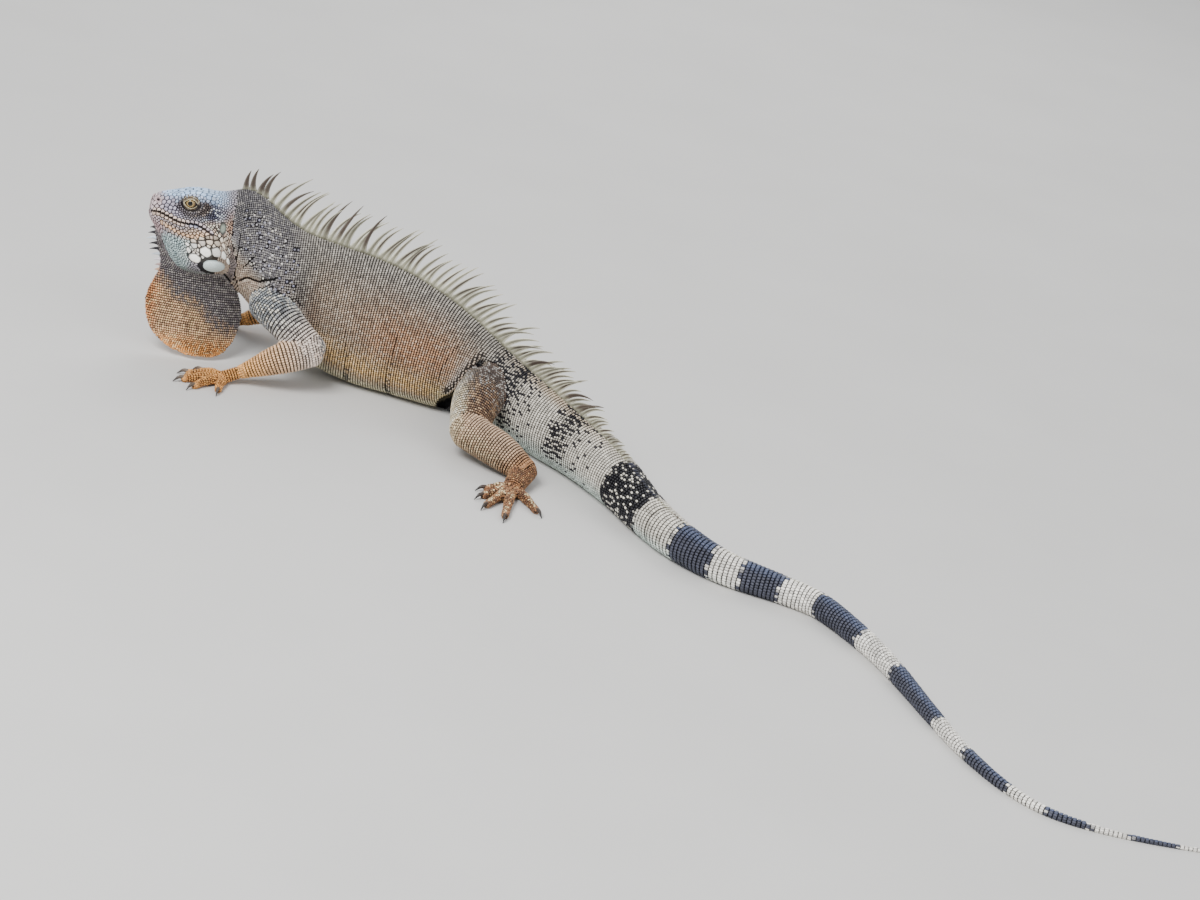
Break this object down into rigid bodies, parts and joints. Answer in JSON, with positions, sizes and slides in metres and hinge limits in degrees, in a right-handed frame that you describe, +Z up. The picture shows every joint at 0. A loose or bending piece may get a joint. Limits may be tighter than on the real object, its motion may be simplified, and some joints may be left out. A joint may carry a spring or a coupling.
{
  "type": "iguana",
  "caption": "Adult male lizard at rest, head raised, with a spiny back crest, a deep throat fan, a round cheek shield and a long banded tail in two curves.",
  "frame": {"origin": "on the ground plane, at the middle of the flat that the belly rests on, under the body line where the chest ends", "axes": "+Z up; -X towards the snout, along the head and shoulders; -Y towards the animal's left side; the trunk and tail curve to the left and run mostly towards -Y"},
  "size_m": [1.0029, 0.9056, 0.2014],
  "materials": {
    "head_skin": "dry horny plates and scales, satin",
    "body_skin": "fine dry scales, satin",
    "tail_skin": "keeled scales in rings, banded pale and dark, satin",
    "throat_fan": "soft fine-scaled skin, satin",
    "limb_skin": "dry scales, satin",
    "cheek_shield": "smooth horn, semi-gloss",
    "eye": "wet gloss",
    "claw": "dark horn, semi-gloss"
  },
  "bodies": {
    "root": {"head": "head_skin", "lower_jaw": "head_skin", "eye_left": "eye", "eye_right": "eye", "shield_left": "cheek_shield", "shield_right": "cheek_shield", "neck": "body_skin", "chest": "body_skin", "belly": "body_skin", "tail_1": "tail_skin", "tail_2": "tail_skin", "tail_3": "tail_skin", "tail_4": "tail_skin", "tail_5": "tail_skin", "tail_6": "tail_skin", "tail_7": "tail_skin", "throat_fan": "throat_fan", "upper_arm_left": "limb_skin", "forearm_left": "limb_skin", "hand_left": "limb_skin", "thigh_left": "limb_skin", "shin_left": "limb_skin", "foot_left": "limb_skin", "upper_arm_right": "limb_skin", "forearm_right": "limb_skin", "hand_right": "limb_skin", "thigh_right": "limb_skin", "shin_right": "limb_skin", "foot_right": "limb_skin", "hand_left_claw_1": "claw", "hand_left_claw_2": "claw", "hand_left_claw_3": "claw", "hand_left_claw_4": "claw", "hand_left_claw_5": "claw", "foot_left_claw_1": "claw", "foot_left_claw_2": "claw", "foot_left_claw_3": "claw", "foot_left_claw_4": "claw", "foot_left_claw_5": "claw", "hand_right_claw_1": "claw", "hand_right_claw_2": "claw", "hand_right_claw_3": "claw", "hand_right_claw_4": "claw", "hand_right_claw_5": "claw", "foot_right_claw_1": "claw", "foot_right_claw_2": "claw", "foot_right_claw_3": "claw", "foot_right_claw_4": "claw", "foot_right_claw_5": "claw"}
  },
  "joints": []
}
